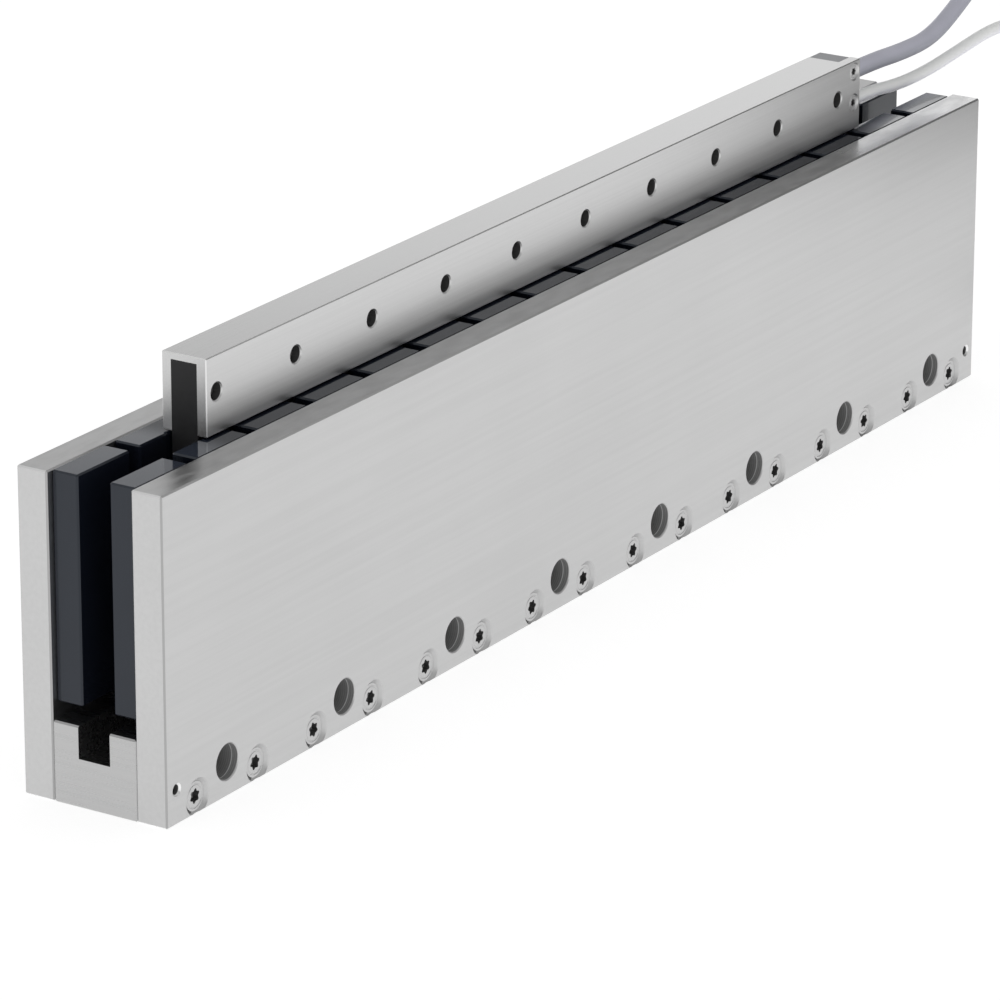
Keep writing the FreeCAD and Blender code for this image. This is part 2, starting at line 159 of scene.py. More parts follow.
floor_finish = finish(
    "studio_floor",
    Base_Color=(0.45, 0.45, 0.45),
    Roughness=1.0,
    Specular_IOR_Level=0.0,
    Emission_Color=(1.0, 1.0, 1.0),
    Emission_Strength=0.76,
)
bpy.ops.mesh.primitive_plane_add(size=40.0)
floor = bpy.context.object
floor.name = "studio_floor"
floor.data.materials.append(floor_finish[0])

card_material, shader, wire = finish("shade_card", Base_Color=(0.12, 0.12, 0.12), Specular_IOR_Level=0.0)
point = on_piece(wire)
above_floor = along(point, "Z")
shading = rise(along(point, "X") + 0.35 * above_floor, 0.24, 0.42) * rise(above_floor, 0.022, 0.055)
(0.9 * shading).to(shader, "Alpha")
bpy.ops.object.select_all(action="DESELECT")
bpy.ops.mesh.primitive_plane_add(size=1.0, location=(0.7, -0.12, 0.2), rotation=(math.radians(90), 0.0, 0.0))
card = bpy.context.object
card.name = "shade_card"
card.scale = (1.0, 0.4, 1.0)
bpy.ops.object.transform_apply(location=True, rotation=True, scale=True)
card.data.materials.append(card_material)
card.visible_camera = False
card.visible_diffuse = False
card.visible_shadow = False

bpy.ops.object.select_all(action="DESELECT")

# Power cable
# One metre of round grey cable with four cores. It leaves the coil unit's end, hangs over the end of
# the track and lies behind it in a flat round coil of three and a half turns, in two layers.
outlet_face = 0.1866
power_diameter = 0.0060
power_level = 0.1166
power_centre = (0.410, -0.020)
power_tip = (0.3760, -0.0552, 0.0035)
turn_points = 14


def wound(centre, angle, stages):
    """The turns of a flat coil, clockwise from above. A stage is (turns, radii, levels)."""
    bulge = 1 / math.cos(math.pi / turn_points)
    points = []
    for turns, radii, levels in stages:
        steps = round(turns * turn_points)
        for step in range(1, steps + 1):
            angle -= 2 * math.pi * turns / steps
            share = step / steps
            radius = bulge * (radii[0] + (radii[1] - radii[0]) * share)
            level = levels[0] + (levels[1] - levels[0]) * share
            points.append((centre[0] + radius * math.cos(angle), centre[1] + radius * math.sin(angle), level))
    return points


def lay_cable(name, points, diameter, material):
    """A round cable along one smooth line."""
    data = bpy.data.curves.new(name, "CURVE")
    data.dimensions = "3D"
    spline = data.splines.new("NURBS")
    spline.points.add(len(points) - 1)
    for place, point in zip(spline.points, points):
        place.co = (*point, 1.0)
    spline.order_u = 3
    spline.use_endpoint_u = True
    data.resolution_u = 8
    data.bevel_depth = diameter / 2
    data.bevel_resolution = 6
    data.use_fill_caps = True
    data.materials.append(material)
    cable = bpy.data.objects.new(name, data)
    bpy.context.scene.collection.objects.link(cable)
    return cable


def grain(point, scale, detail=2.0):
    """Soft noise between 0 and 1."""
    return point.add("ShaderNodeTexNoise", {}, {"Vector": point, "Scale": scale, "Detail": detail}, "Fac")


def between(mask, low, high):
    """A colour that goes from low to high with the mask. A single number is a grey."""
    ends = []
    for colour in (low, high):
        if isinstance(colour, float):
            colour = (colour, colour, colour)
        ends.append(colour if isinstance(colour, Wire) else (*colour, 1.0))
    return mask.add("ShaderNodeMix", {"data_type": "RGBA"}, {0: mask, 6: ends[0], 7: ends[1]}, 2)


def relief(height, depth, strength=1.0):
    """The normal of a surface with that relief, its depth in metres."""
    return height.add("ShaderNodeBump", {}, {"Height": height, "Distance": depth, "Strength": strength})


def facing(wire, axis):
    """How far the surface faces along an axis, from -1 to 1."""
    return along(wire.add("ShaderNodeTexCoord", output="Normal"), axis)


def jacket(name, low, high):
    """Extruded cable jacket, satin, uneven from handling, with painted shade: low colour below, high on top.
    """
    material, shader, wire = finish(name, Specular_IOR_Level=0.4)
    point = on_piece(wire)
    # Painted shade: the colour runs from low underneath to high on top, over an uneven grain.
    painted_shade_and_grain = 0.7 * rise(facing(wire, "Z"), -0.8, 0.8) + 0.3 * grain(point, 60.0, 3.0)
    between(painted_shade_and_grain, low, high).to(shader, "Base Color")
    (0.36 + 0.16 * grain(point, 900.0)).to(shader, "Roughness")
    relief(grain(point, 1600.0), 0.00004, 0.5).to(shader, "Normal")
    return material


def pick(passes):
    """Selects the corners of the piece being shaped whose place passes."""
    bpy.ops.mesh.select_all(action="DESELECT")
    bpy.ops.object.mode_set(mode="OBJECT")
    for corner in bpy.context.object.data.vertices:
        corner.select = passes(corner.co)
    bpy.ops.object.mode_set(mode="EDIT")
    bpy.ops.mesh.select_mode(type="VERT")


def pull(distance, spread=1.0):
    """Extrudes what is selected along Z and scales its end about the Z axis."""
    bpy.ops.mesh.extrude_region_move(TRANSFORM_OT_translate={"value": (0.0, 0.0, distance)})
    bpy.ops.transform.resize(value=(spread, spread, 1.0), center_override=(0.0, 0.0, 0.0))


def steps_in(*steps):
    """Insets the selected face again and again, each time by a width and then a rise."""
    for width, lift in steps:
        bpy.ops.mesh.inset(thickness=width, depth=lift)


def shaped(material, angle=30.0):
    """Ends the shaping of a piece: faces outwards, smooth shading up to that angle, and its finish."""
    bpy.ops.mesh.select_all(action="SELECT")
    bpy.ops.mesh.normals_make_consistent(inside=False)
    bpy.ops.object.mode_set(mode="OBJECT")
    bpy.ops.object.transform_apply(location=True, rotation=True, scale=True)
    bpy.ops.object.shade_smooth_by_angle(angle=math.radians(angle))
    piece = bpy.context.object
    piece.data.materials.append(material)
    return piece


def set_out(name, piece, places):
    """Copies of a shaped piece at those places, each with its own mesh, joined into one piece."""
    bpy.ops.object.select_all(action="DESELECT")
    for place in places:
        twin = piece.copy()
        twin.data = piece.data.copy()
        twin.matrix_world = place
        bpy.context.scene.collection.objects.link(twin)
        twin.select_set(True)
        bpy.context.view_layer.objects.active = twin
    bpy.data.objects.remove(piece)
    bpy.ops.object.join()
    bpy.ops.object.transform_apply(location=True, rotation=True, scale=True)
    joined = bpy.context.object
    joined.name = name
    bpy.ops.object.select_all(action="DESELECT")
    return joined


rubber, shader, wire = finish("grommet_rubber")
texture = grain(on_piece(wire), 1800.0)
between(texture, 0.018, 0.030).to(shader, "Base Color")
(0.45 + 0.2 * texture).to(shader, "Roughness")
relief(texture, 0.00003, 0.4).to(shader, "Normal")
nylon, shader, wire = finish("tie_nylon")
texture = grain(on_piece(wire), 2500.0)
between(texture, (0.020, 0.020, 0.023), (0.034, 0.034, 0.038)).to(shader, "Base Color")
(0.28 + 0.15 * texture).to(shader, "Roughness")
tin, shader, wire = finish("ferrule_tin", Metallic=1.0)
crimp = grain(on_piece(wire), 900.0)
between(crimp, (0.55, 0.54, 0.52), (0.70, 0.69, 0.66)).to(shader, "Base Color")
(0.22 + 0.2 * crimp).to(shader, "Roughness")


def stripped_end(name, place, heading, diameter, core_diameter, colours, slot):
    """Shrink sleeve on the jacket's end, four cores that sink towards the floor, and their ferrules."""
    overlap = 0.004
    sleeve_length = 0.008
    sleeve_wall = 0.0004
    bpy.ops.mesh.primitive_cylinder_add(
        vertices=32,
        radius=diameter / 2 + sleeve_wall,
        depth=sleeve_length + overlap,
        location=(0.0, 0.0, (sleeve_length - overlap) / 2),
    )
    bpy.ops.object.transform_apply(location=True, rotation=False, scale=False)
    bpy.ops.object.mode_set(mode="EDIT")
    pick(lambda corner: corner.z > sleeve_length - 0.0001)
    bpy.ops.transform.resize(value=(0.86, 0.86, 1.0), center_override=(0.0, 0.0, 0.0))
    steps_in((0.00025, 0.00015), (0.0003, -0.0001), (0.0002, -0.0015))
    pick(lambda corner: corner.z < 0.0001 - overlap)
    steps_in((0.0003, 0.0003))
    sleeve = shaped(rubber)
    line = Matrix.Translation(place) @ Vector(heading).to_track_quat("Z", "Y").to_matrix().to_4x4()
    sleeve = set_out(f"{name}_sleeve", sleeve, [line])

    core_length = 0.012
    ring = 0.2 * diameter + core_diameter / 4
    # A station is (share of the splay, distance from the jacket's end, drop).
    stations = (
        (0.55, -0.002, 0.0),
        (0.75, 0.002, 0.0),
        (1.0, 0.006, 0.0004),
        (1.0, 0.009, 0.0011),
        (1.0, core_length, 0.0014),
    )
    tips = []
    for number, colour in enumerate(colours):
        angle = math.radians(45 + 90 * number)
        offset = Vector((ring * math.cos(angle), ring * math.sin(angle), 0.0))
        splay = Vector((1.3 * offset.x, offset.y, 0.0))
        points = []
        for share, distance, drop in stations:
            spread = offset.lerp(splay, max(0.0, distance / core_length)) * share
            point = line @ (spread + Vector((0.0, 0.0, distance)))
            point.z = max(point.z - drop, core_diameter / 2 + 0.0003)
            points.append(point)
        label = f"{name}_core_{number}"
        core = lay_cable(label, points, core_diameter, jacket(label, colour, colour))
        core.select_set(True)
        bpy.context.view_layer.objects.active = core
        tips.append(Matrix.Translation(points[-1]) @ line.to_3x3().to_4x4())
    bpy.ops.object.convert(target="MESH")
    bpy.ops.object.join()
    cores = bpy.context.object
    cores.name = f"{name}_cores"
    bpy.ops.object.select_all(action="DESELECT")

    collar = core_diameter / 2 + 0.00025
    collar_length = 0.0018
    pin_length = 0.0032
    bpy.ops.mesh.primitive_cylinder_add(
        vertices=16, radius=0.8 * collar, depth=collar_length, location=(0.0, 0.0, collar_length / 2)
    )
    bpy.ops.object.transform_apply(location=True, rotation=False, scale=False)
    bpy.ops.object.mode_set(mode="EDIT")
    pick(lambda corner: corner.z < 0.0001)
    bpy.ops.transform.resize(value=(1.25, 1.25, 1.0), center_override=(0.0, 0.0, 0.0))
    pick(lambda corner: corner.z > collar_length - 0.0001)
    steps_in((0.00012, 0.0))
    pull(pin_length, 0.95)
    steps_in((0.00012, -0.0001), (0.00008, -0.0002))
    ferrules = set_out(f"{name}_ferrules", shaped(tin), tips)
    for piece, finish_slot in ((sleeve, "grommet_rubber"), (cores, slot), (ferrules, "tinned_copper")):
        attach(piece, "coil_unit")
    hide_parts(f"{name}_leads")
    return [sleeve, cores, ferrules]


def strap_round(inner, outer, height):
    """A nylon strap round the coil where it runs along Y, with its ratchet head on the outer side."""
    thickness = 0.0008
    width = 0.0036
    play = 0.00015
    middle = height / 2 + thickness
    bpy.ops.object.select_all(action="DESELECT")
    bpy.ops.mesh.primitive_cube_add(size=1.0, location=((inner + outer) / 2, 0.0, middle))
    strap = bpy.context.object
    strap.scale = (outer - inner + 2 * play + thickness, width, height + thickness)
    bpy.ops.object.transform_apply(location=True, rotation=False, scale=True)
    bpy.ops.object.mode_set(mode="EDIT")
    bpy.ops.mesh.select_mode(type="EDGE")
    bpy.ops.mesh.select_all(action="DESELECT")
    bpy.ops.object.mode_set(mode="OBJECT")
    for edge in strap.data.edges:
        ends = [strap.data.vertices[corner].co for corner in edge.vertices]
        edge.select = abs(ends[0].y - ends[1].y) > width / 2
    bpy.ops.object.mode_set(mode="EDIT")
    bpy.ops.mesh.bevel(offset=0.25 * height, segments=6, affect="EDGES")
    bpy.ops.mesh.select_mode(type="FACE")
    bpy.ops.mesh.select_all(action="DESELECT")
    bpy.ops.object.mode_set(mode="OBJECT")
    for side in strap.data.polygons:
        side.select = abs(side.normal.y) > 0.9
    bpy.ops.object.mode_set(mode="EDIT")
    bpy.ops.mesh.delete(type="FACE")
    bpy.ops.object.mode_set(mode="OBJECT")
    wall = strap.modifiers.new("wall", "SOLIDIFY")
    wall.thickness = thickness
    wall.offset = 0.0
    edge_break = strap.modifiers.new("edge_break", "BEVEL")
    edge_break.width = 0.00015
    edge_break.segments = 2
    for modifier in ("wall", "edge_break"):
        bpy.ops.object.modifier_apply(modifier=modifier)
    bpy.ops.object.shade_smooth_by_angle(angle=math.radians(40))
    strap.data.materials.append(nylon)
    bpy.ops.object.select_all(action="DESELECT")

    head_size = (0.0030, 0.0052, 0.0046)
    sunk_in = 0.0004
    bpy.ops.mesh.primitive_cube_add(size=1.0, location=(outer + play + thickness - sunk_in, 0.0, middle))
    head = bpy.context.object
    head.scale = head_size
    bpy.ops.object.transform_apply(location=True, rotation=False, scale=True)
    bpy.ops.object.mode_set(mode="EDIT")
    pick(lambda corner: corner.z > middle)
    steps_in((0.0007, 0.0), (0.0002, -0.0008))
    pick(lambda corner: corner.z < middle - 0.001)
    steps_in((0.0008, 0.0))
    pull(-0.0022)
    head = shaped(nylon)
    rounding = head.modifiers.new("rounding", "BEVEL")
    rounding.width = 0.0003
    rounding.segments = 2
    bpy.ops.object.modifier_apply(modifier="rounding")
    head.select_set(True)
    strap.select_set(True)
    bpy.context.view_layer.objects.active = strap
    bpy.ops.object.join()
    return strap


def tied(name, centre, height, spans):
    """The straps round a coil. A span is (angle in degrees, inner radius, outer radius)."""
    straps = []
    for angle, inner, outer in spans:
        spot = Matrix.Translation((*centre, 0.0)) @ Matrix.Rotation(math.radians(angle), 4, "Z")
        straps.append(set_out(f"{name}_strap", strap_round(inner, outer, height), [spot]))
    for strap in straps:
        strap.select_set(True)
    bpy.context.view_layer.objects.active = straps[0]
    bpy.ops.object.join()
    ties = bpy.context.object
    ties.name = f"{name}_straps"
    bpy.ops.object.select_all(action="DESELECT")
    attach(ties, "coil_unit")
    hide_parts(f"{name}_ties")
    return ties


# Painted shade: dark grey underneath, light lavender grey on top.
power_jacket = jacket("power_jacket", (0.21, 0.22, 0.26), (0.53, 0.53, 0.61))
power_cable = lay_cable(
    "power_cable_run",
    [
        (outlet_face, 0.0000, power_level),
        (0.2080, 0.0000, power_level),
        (0.2290, 0.0000, 0.1152),
        (0.2500, 0.0000, 0.1153),
        (0.2700, 0.0005, 0.1220),
        (0.2920, 0.0015, 0.1315),
        (0.3160, 0.0020, 0.1360),
        (0.3380, 0.0025, 0.1315),
        (0.3540, 0.0040, 0.1175),
        (0.3630, 0.0060, 0.0980),
        (0.3670, 0.0080, 0.0760),
        (0.3685, 0.0100, 0.0530),
        (0.3725, 0.0122, 0.0310),
        (0.3820, 0.0140, 0.0137),
        (0.3965, 0.0148, 0.0054),
    ]
    + wound(
        power_centre,
        math.radians(90) + 2 * math.pi / turn_points,
        [
            (1 / turn_points, (0.03465, 0.03465), (0.0038, 0.0038)),
            (1.5, (0.03465, 0.02535), (0.0038, 0.0038)),
            (0.5, (0.02535, 0.02535), (0.0038, 0.0098)),
            (1.5, (0.02535, 0.03465), (0.0098, 0.0098)),
        ],
    )
    + [
        (0.3980, -0.0547, 0.0089),
        (0.3870, -0.0549, 0.0051),
        power_tip,
    ],
    power_diameter,
    power_jacket,
)
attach(power_cable, "coil_unit")
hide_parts("power_cable", "power_cable_coil")
power_end = stripped_end(
    "power_cable",
    power_tip,
    (-0.0110, -0.0003, 0.0),
    power_diameter,
    0.0013,
    ((0.02, 0.02, 0.02), (0.16, 0.07, 0.03), (0.32, 0.32, 0.33), (0.10, 0.30, 0.06)),
    "power_jacket",
)
power_spans = ((45, 0.0231, 0.0369), (225, 0.0223, 0.0338))
power_ties = tied("power_cable", power_centre, 2 * power_diameter, power_spans)

# Sensor cable
# One metre of thinner, off-white cable with four cores. It leaves below the power cable and lies
# between that cable's coil and the track, in its own flat coil of four and three quarter turns.
sensor_diameter = 0.0042
sensor_level = 0.1066
sensor_centre = (0.331, -0.028)
sensor_tip = (0.3630, 0.0085, 0.0026)
# Painted shade: lavender grey underneath, off-white on top.
sensor_jacket = jacket("sensor_jacket", (0.80, 0.80, 0.87), (0.95, 0.96, 0.93))
sensor_cable = lay_cable(
    "sensor_cable_run",
    [
        (outlet_face, 0.0000, sensor_level),
        (0.2060, 0.0000, sensor_level),
        (0.2270, 0.0000, 0.1041),
        (0.2490, 0.0000, 0.1041),
        (0.2720, 0.0000, 0.1062),
        (0.2960, 0.0000, 0.1083),
        (0.3170, 0.0000, 0.1060),
        (0.3340, 0.0000, 0.0965),
        (0.3465, 0.0000, 0.0820),
        (0.3540, 0.0000, 0.0630),
        (0.3585, -0.0005, 0.0430),
        (0.3602, -0.0040, 0.0240),
        (0.3592, -0.0140, 0.0095),
    ]
    + wound(
        sensor_centre,
        2 * math.pi / turn_points,
        [
            (1 / turn_points, (0.0280, 0.0280), (0.0029, 0.0029)),
            (1.9, (0.0280, 0.0181), (0.0029, 0.0029)),
            (0.5, (0.0181, 0.0181), (0.0029, 0.0071)),
            (2.35, (0.0181, 0.0280), (0.0071, 0.0071)),
        ],
    )
    + [
        (0.3430, 0.0004, 0.0063),
        (0.3540, 0.0035, 0.0038),
        sensor_tip,
    ],
    sensor_diameter,
    sensor_jacket,
)
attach(sensor_cable, "coil_unit")
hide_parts("sensor_cable", "sensor_cable_coil")
sensor_end = stripped_end(
    "sensor_cable",
    sensor_tip,
    (0.0090, 0.0050, 0.0),
    sensor_diameter,
    0.0010,
    ((0.75, 0.74, 0.70), (0.16, 0.07, 0.03), (0.08, 0.28, 0.07), (0.75, 0.55, 0.05)),
    "sensor_jacket",
)
sensor_spans = ((45, 0.0161, 0.0265), (225, 0.0160, 0.0286))
sensor_ties = tied("sensor_cable", sensor_centre, 2 * sensor_diameter, sensor_spans)

# Side plates
# Two ground steel plates with a bright nickel plating, mottled on their narrow tops. The front one's top
# is smoother near its far end, where a painted reflection brightens it. The walls of the holes are dark
# with painted shade, darkest in the locating holes, over the fine rings of the boring tool, and a painted
# highlight ring lies deep in the wide holes. The countersinks carry painted shade on one side, the small
# locating holes a painted highlight on their chamfer, and the broken edges at the plates' ends a painted
# highlight across their tops and painted shade down their sides.
track_half = 0.240
plate_inside = 0.0145
plate_outside = 0.0250
side_hole_pitch = 0.060
side_hole_radius = 0.0054
locating_reach = (0.2325, 0.2385)
hole_rows = (0.0008, 0.0175)


def give(material, *names):
    """Puts a finish on CAD nodes."""
    for name in names:
        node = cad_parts[name]
        node.data.materials.clear()
        node.data.materials.append(material)


def off_row(value, pitch):
    """How far a place is from a row of axes, which stand half a pitch to each side of zero."""
    return abs(value.math("FRACT", value * (1 / pitch)) - 0.5) * pitch


def within(value, start, end, blur):
    """1 between start and end, 0 outside them."""
    return rise(value, start - blur, start) * (1 - rise(value, end, end + blur))


def lying_flat(wire):
    """1 on the faces that look up or down."""
    return rise(abs(facing(wire, "Z")), 0.8, 0.95)


def broken(wire, first, second):
    """1 on the broken edges between the faces across two axes."""
    return rise(abs(facing(wire, first)) * abs(facing(wire, second)), 0.3, 0.45)


nickel, shader, wire = finish("plate_nickel", Metallic=1.0)
point = on_piece(wire)
across_plate = abs(along(point, "Y"))
streaks = grain(on_piece(wire, (12.0, 700.0, 700.0)), 1.0, 5.0)
clouds = grain(point, 22.0, 3.0)
facing_up = lying_flat(wire)
mottle = rise(grain(on_piece(wire, (90.0, 260.0, 90.0)), 1.0, 6.0), 0.35, 0.65)
off_hole = off_row(along(point, "X"), side_hole_pitch)
at_head_hole = 1 - rise(off_hole, side_hole_radius + 0.0004, side_hole_radius + 0.0008)
at_end_hole = within(abs(along(point, "X")), *locating_reach, 0.0003)
at_plate_end = rise(abs(along(point, "X")), track_half - 0.0008, track_half - 0.0004)
by_holes = within(along(point, "Z"), *hole_rows, 0.0002)
in_plate = within(across_plate, plate_inside + 0.0002, plate_outside - 0.0004, 0.0002)
in_plate = in_plate * by_holes * (1 - at_plate_end)
slanted = 1 - rise(abs(facing(wire, "Y")), 0.85, 0.95)
at_face = rise(across_plate, plate_outside - 0.0007, plate_outside - 0.0005)
# Painted highlight on the chamfer at the mouth of each locating hole.
highlit_mouth = at_end_hole * slanted * at_face * by_holes
bored = in_plate * (at_head_hole + at_end_hole) * (1 - highlit_mouth)
sunk = in_plate * (1 - at_head_hole - at_end_hole)
# Painted shade on the countersink walls that face along X and up.
shaded = sunk * rise(facing(wire, "X") + facing(wire, "Z"), 0.35, 0.75)
rings = 0.5 + 0.5 * across_plate.math("SINE", across_plate * 9000.0)
plating_and_painted_light = between(0.35 * rise(streaks, 0.25, 0.75) + 0.65 * clouds, 0.52, 0.60)
plating_and_painted_light = between(facing_up * mottle, plating_and_painted_light, 0.64)
# Painted reflection: past x = 0.15 m the front plate's top is painted bright, and it is also smoother there.
in_front = 1 - rise(along(point, "Y"), -0.001, 0.001)
smoother_and_painted_bright_end = facing_up * in_front * rise(along(point, "X"), 0.150, 0.165)
plating_and_painted_light = between(smoother_and_painted_bright_end, plating_and_painted_light, 0.84)
# Painted highlight on the broken edges between the plate ends and tops, painted shade on the upright ones.
plating_and_painted_light = between(broken(wire, "X", "Z") * at_plate_end, plating_and_painted_light, 0.88)
plating_and_painted_light = between(broken(wire, "X", "Y") * at_plate_end, plating_and_painted_light, 0.40)
# Painted highlight on the locating holes' chamfers.
plating_and_painted_light = between(highlit_mouth, plating_and_painted_light, 0.88)
# Painted shade on one side of the countersinks.
plating_and_painted_light = between(shaded, plating_and_painted_light, 0.10)
# Painted shade on the hole walls, over the boring tool's rings, darkest in the locating holes; a painted
# highlight ring deep in the wide holes.
shaded_walls = between(rings, 0.26, 0.36)
highlit_step_ring = within(across_plate, plate_outside - 0.00245, plate_outside - 0.00225, 0.00015)
shaded_walls = between(at_end_hole, between(highlit_step_ring, shaded_walls, 0.75), 0.13)
between(bored, plating_and_painted_light, shaded_walls).to(shader, "Base Color")
worn = 0.27 + 0.06 * streaks + 0.06 * clouds + facing_up * (0.08 * mottle - 0.03) - 0.12 * smoother_and_painted_bright_end
(worn + 0.2 * bored + 0.14 * sunk).to(shader, "Roughness")
(1 - 0.75 * bored).to(shader, "Metallic")
tool_marks = streaks * (1 - bored) + 1.5 * rings * bored + 0.5 * mottle * facing_up
relief(tool_marks, 0.00001, 0.4).to(shader, "Normal")
give(nickel, "side_plate_front", "side_plate_rear")

# Base spacer
# Milled steel bar between the plates, held by their screws, with a groove for the blade's foot. It has
# the same plating, over cutter marks that run across its ends.
milled, shader, wire = finish("spacer_nickel", Metallic=1.0)
marks = grain(on_piece(wire, (700.0, 15.0, 700.0)), 1.0, 4.0)
between(marks, 0.455, 0.525).to(shader, "Base Color")
(0.22 + 0.12 * marks).to(shader, "Roughness")
relief(marks, 0.00001, 0.5).to(shader, "Normal")
give(milled, "base_spacer")

# Magnets
# Sixteen block magnets a side with a dark, slightly blue epoxy coating, which has the faint orange peel
# of a sprayed film. Their tops are duller where the coil unit stands at rest, and glossy past its ends,
# where a painted reflection also lightens their colour. The broken edges between their ends and tops
# carry a painted highlight.
unit_middle = -0.0034
unit_half = 0.190
coating, shader, wire = finish(
    "magnet_coating", Specular_IOR_Level=0.36, Coat_Roughness=0.03, Specular_Tint=(0.78, 0.87, 1.0)
)
point = on_piece(wire)
facing_up = lying_flat(wire)
film_and_painted_sheen = between(grain(point, 90.0, 3.0), (0.005, 0.007, 0.012), (0.009, 0.011, 0.018))
# Painted reflection: the tops past the coil unit's ends are painted lighter, and are also glossier there.
glossy_and_painted_lit_tops = facing_up * rise(abs(along(point, "X") - unit_middle), unit_half - 0.004, unit_half + 0.008)
film_and_painted_sheen = between(glossy_and_painted_lit_tops, film_and_painted_sheen, (0.028, 0.036, 0.055))
# Painted highlight on the broken edges between the ends and the tops.
between(broken(wire, "X", "Z"), film_and_painted_sheen, (0.020, 0.023, 0.030)).to(shader, "Base Color")
(0.20 + 0.06 * grain(point, 400.0, 3.0) - 0.13 * facing_up).to(shader, "Roughness")
(0.3 - 0.25 * facing_up + 0.8 * glossy_and_painted_lit_tops).to(shader, "Coat Weight")
relief(grain(point, 1400.0), 0.00001, 0.2).to(shader, "Normal")
for side in ("front", "rear"):
    give(coating, *[f"magnet_{side}_{number:02d}" for number in range(1, 17)])

# Plate screws
# Countersunk M5 screws with six-lobed sockets, sixteen a side, their heads 1 mm below the face.
# Bright zinc over a turned head: a broken rim, a flat land and a shallow ring around the socket.


def from_lobe(corner):
    """How many eighths of the way round to the next lobe a corner of the socket is from the nearest."""
    eighth = round(math.degrees(math.atan2(corner.y, corner.x)) / 7.5) % 8
    return min(eighth, 8 - eighth)


def countersunk(head, socket, socket_depth, shank, length):
    """A countersunk screw with its head's face at the origin, looking up along Z."""
    rim = 0.028 * head
    bpy.ops.object.select_all(action="DESELECT")
    bpy.ops.mesh.primitive_circle_add(
        vertices=48, radius=head / 2, fill_type="NGON", location=(0.0, 0.0, -rim)
    )
    bpy.ops.object.transform_apply(location=True, rotation=False, scale=False)
    bpy.ops.object.mode_set(mode="EDIT")
    bpy.ops.mesh.select_all(action="SELECT")
    land = 0.5 * (head - socket) - rim
    steps_in((rim, rim), (0.30 * land, 0.0), (0.08 * land, -0.5 * rim))
    steps_in((0.10 * land, 0.0), (0.08 * land, 0.5 * rim), (0.44 * land, 0.0))
    spread = socket / 2
    for share, scale in ((0, 1.0), (1, 0.955), (2, 0.86), (3, 0.765), (4, 0.73)):
        pick(lambda corner: math.hypot(corner.x, corner.y) < 1.02 * spread and from_lobe(corner) == share)
        bpy.ops.transform.resize(value=(scale, scale, 1.0), center_override=(0.0, 0.0, 0.0))
    pick(lambda corner: math.hypot(corner.x, corner.y) < 1.02 * spread)
    pull(-socket_depth, 0.96)
    steps_in((0.12 * spread, -0.1 * spread), (0.3 * spread, -0.25 * spread))
    pick(lambda corner: corner.z < 0.001 * head - rim and math.hypot(corner.x, corner.y) > 0.49 * head)
    pull(-0.02 * head)
    pull(0.5 * (shank - head) + 0.02 * head, shank / head)
    pull(0.5 * (head - shank) + rim - length + 0.12 * shank)
    pull(-0.12 * shank, 0.8)
    bpy.ops.mesh.edge_face_add()


def screw_zinc(name, axis_x, axis_z, land, tones):
    """Zinc with turning rings around the screw's axis, and painted shade below the head's land."""
    material, shader, wire = finish(name, Metallic=1.0)
    point = on_piece(wire)
    aside = axis_x(along(point, "X"))
    above = axis_z(along(point, "Z"))
    from_axis = aside.math("SQRT", aside * aside + above * above)
    turning = 0.5 + 0.5 * from_axis.math("SINE", from_axis * 22000.0)
    speckle = grain(point, 1500.0, 3.0)
    # Painted shade: the socket and everything below the head's land are painted dark.
    shaded_below_land = 1 - rise(abs(along(point, "Y")), land - 0.0004, land - 0.00018)
    bright = between(0.6 * speckle + 0.4 * turning, *tones)
    between(shaded_below_land, bright, 0.22).to(shader, "Base Color")
    (0.24 + 0.14 * speckle + 0.15 * shaded_below_land).to(shader, "Roughness")
    relief(turning, 0.00001, 0.5).to(shader, "Normal")
    return material


def driven(x, y, z, turn):
    """The place of a screw whose head looks out of the front, or of the back where y is positive."""
    outwards = Matrix.Rotation(math.radians(math.copysign(90, -y)), 4, "X")
    return Matrix.Translation((x, y, z)) @ outwards @ Matrix.Rotation(math.radians(turn), 4, "Z")


random.seed(7)
screw_pitch = 0.030
screw_level = 0.005
head_level = 0.024
zinc = screw_zinc(
    "screw_zinc", lambda x: off_row(x, screw_pitch), lambda z: z - screw_level, head_level, (0.48, 0.62)
)
for label, side in (("front", -1), ("rear", 1)):
    countersunk(head=0.0094, socket=0.0047, socket_depth=0.0020, shank=0.0050, length=0.0200)
    screw = shaped(zinc)
    spots = []
    for number in range(16):
        screw_x = (number - 7.5) * screw_pitch
        spots.append(driven(screw_x, side * head_level, screw_level, random.uniform(0, 60)))
    screws = set_out(f"{label}_plate_screws", screw, spots)
    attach(screws, "magnet_track")
    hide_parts(f"plate_screws_{label}")

# Coil carrier
# Upside-down U bar, brushed along its whole length, with ten drilled holes through each wall, their
# walls darkened with painted shade. The broken edges at its ends carry a painted highlight.
carrier_hole_pitch = 0.040
carrier_hole_shift = 0.0084
carrier_hole_level = 0.113
brushed, shader, wire = finish("carrier_brushed", Metallic=1.0)
point = on_piece(wire)
streaks = grain(on_piece(wire, (14.0, 1500.0, 1500.0)), 1.0, 6.0)
facing_up = lying_flat(wire)
wall = within(abs(along(point, "Y")), 0.0047, 0.0073, 0.0001)
row = within(along(point, "Z"), carrier_hole_level - 0.003, carrier_hole_level + 0.003, 0.0002)
off_hole = off_row(along(point, "X") + carrier_hole_shift, carrier_hole_pitch)
drilled = wall * row * (1 - rise(off_hole, 0.0030, 0.0034))
brushing_and_painted_highlights = between(rise(streaks, 0.25, 0.75), 0.59, 0.63)
at_end = rise(abs(along(point, "X") - unit_middle), unit_half - 0.0007, unit_half - 0.0003)
